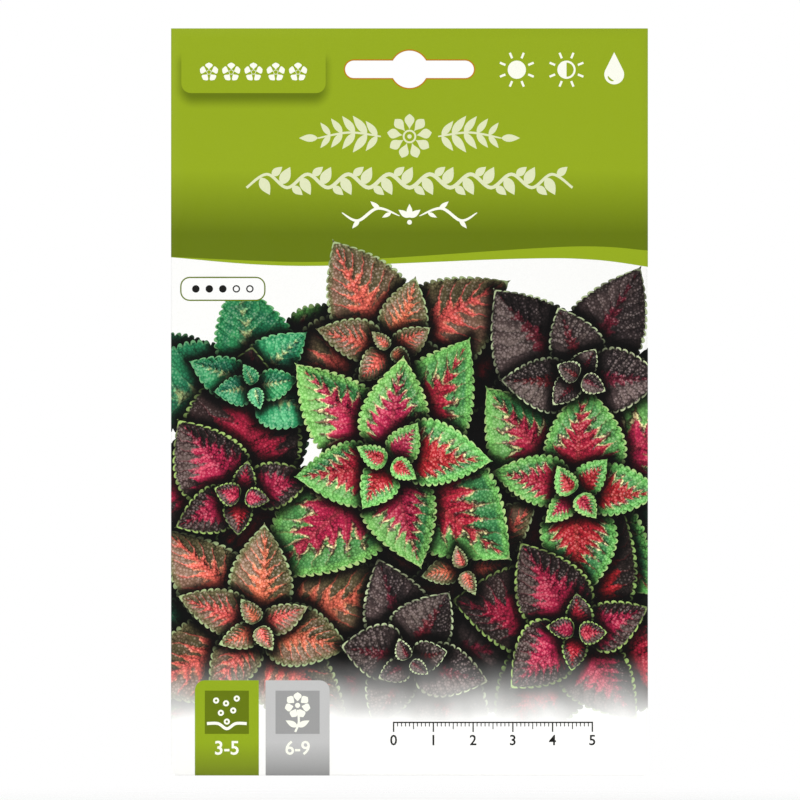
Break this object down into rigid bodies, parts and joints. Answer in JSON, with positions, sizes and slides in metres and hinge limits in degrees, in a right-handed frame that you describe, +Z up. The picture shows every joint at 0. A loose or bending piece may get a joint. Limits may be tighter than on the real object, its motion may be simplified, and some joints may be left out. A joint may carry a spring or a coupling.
{
  "type": "seed packet",
  "caption": "Sealed paper seed packet with a euro hang slot in its header, folded and glued flaps on the back and a small inner sachet of seed.",
  "frame": {"origin": "middle of the euro slot, on the glue line between the front sheet and the back sheet", "axes": "+Z up the packet towards its header's top edge, -Y out of the printed front, +X to the right as the front is seen"},
  "size_m": [0.12, 0.0046, 0.188],
  "materials": {
    "printed_paper": "satin",
    "plain_paper": "matte",
    "sachet_paper": "satin",
    "seed": "matte"
  },
  "bodies": {
    "root": {"front_sheet": "printed_paper", "back_sheet": "plain_paper", "sachet_front": "sachet_paper", "sachet_back": "sachet_paper", "seeds": "seed"}
  },
  "joints": []
}
